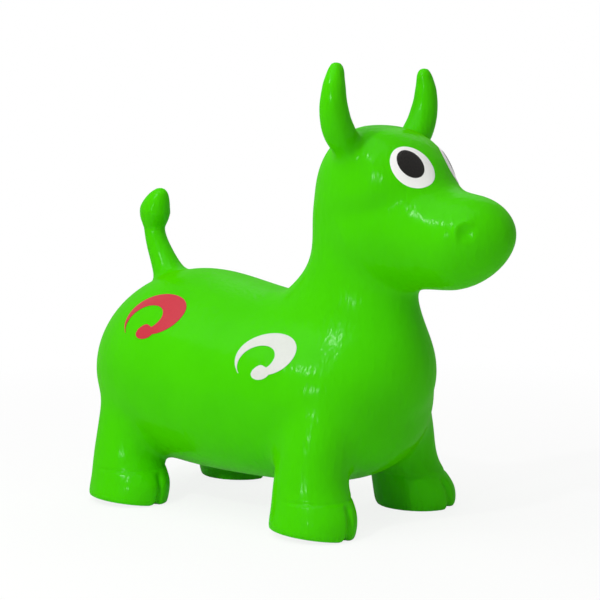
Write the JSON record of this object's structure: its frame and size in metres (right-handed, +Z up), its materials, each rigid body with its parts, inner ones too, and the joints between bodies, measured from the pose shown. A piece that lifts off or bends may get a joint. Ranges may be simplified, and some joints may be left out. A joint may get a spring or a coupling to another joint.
{
  "type": "animal hopper",
  "caption": "Inflatable ride-on hopper shaped as a short-legged horned bull, with horns to hold, an upright tail, painted eyes and a belly stopper.",
  "frame": {"origin": "on the floor, under the middle of the whole length and width", "axes": "+X forward to the nose, +Y to the animal's left, +Z up"},
  "size_m": [0.547, 0.284, 0.506],
  "materials": {
    "green_pvc": "smooth soft PVC, glossy",
    "white_print": "screen-printed white ink",
    "red_print": "screen-printed red ink",
    "black_print": "screen-printed black ink",
    "white_stopper": "moulded soft plastic"
  },
  "bodies": {
    "torso": {"torso_skin": "green_pvc", "leg_front_right": "green_pvc", "leg_front_left": "green_pvc", "leg_hind_right": "green_pvc", "leg_hind_left": "green_pvc", "hip_scroll_right": "red_print", "hip_scroll_left": "red_print", "flank_scroll_right": "white_print", "flank_scroll_left": "white_print"},
    "head": {"head_skin": "green_pvc", "eye_white_right": "white_print", "eye_white_left": "white_print", "eye_pupil_right": "black_print", "eye_pupil_left": "black_print"},
    "horn_right": {"horn_right": "green_pvc"},
    "horn_left": {"horn_left": "green_pvc"},
    "tail": {"tail": "green_pvc"},
    "plug": {"air_plug": "white_stopper"}
  },
  "joints": [
    {"name": "head_nod", "type": "hinge", "parent": "torso", "child": "head", "pos_m": [0.074, 0, 0.256], "axis": [0, 1, 0], "range_deg": [-8, 8], "stiffness_Nm_per_rad": 40},
    {"name": "horn_right_flex", "type": "hinge", "parent": "head", "child": "horn_right", "pos_m": [0.0995, -0.05515, 0.41], "axis": [0, 1, 0], "range_deg": [-15, 15], "stiffness_Nm_per_rad": 2},
    {"name": "horn_left_flex", "type": "hinge", "parent": "head", "child": "horn_left", "pos_m": [0.0995, 0.05515, 0.41], "axis": [0, 1, 0], "range_deg": [-15, 15], "stiffness_Nm_per_rad": 2},
    {"name": "tail_wag", "type": "hinge", "parent": "torso", "child": "tail", "pos_m": [-0.2115, 0, 0.26503], "axis": [1, 0, 0], "range_deg": [-25, 25], "stiffness_Nm_per_rad": 1},
    {"name": "plug_pull", "type": "slide", "parent": "torso", "child": "plug", "axis": [0, 0, -1], "range_m": [0, 0.016]}
  ]
}
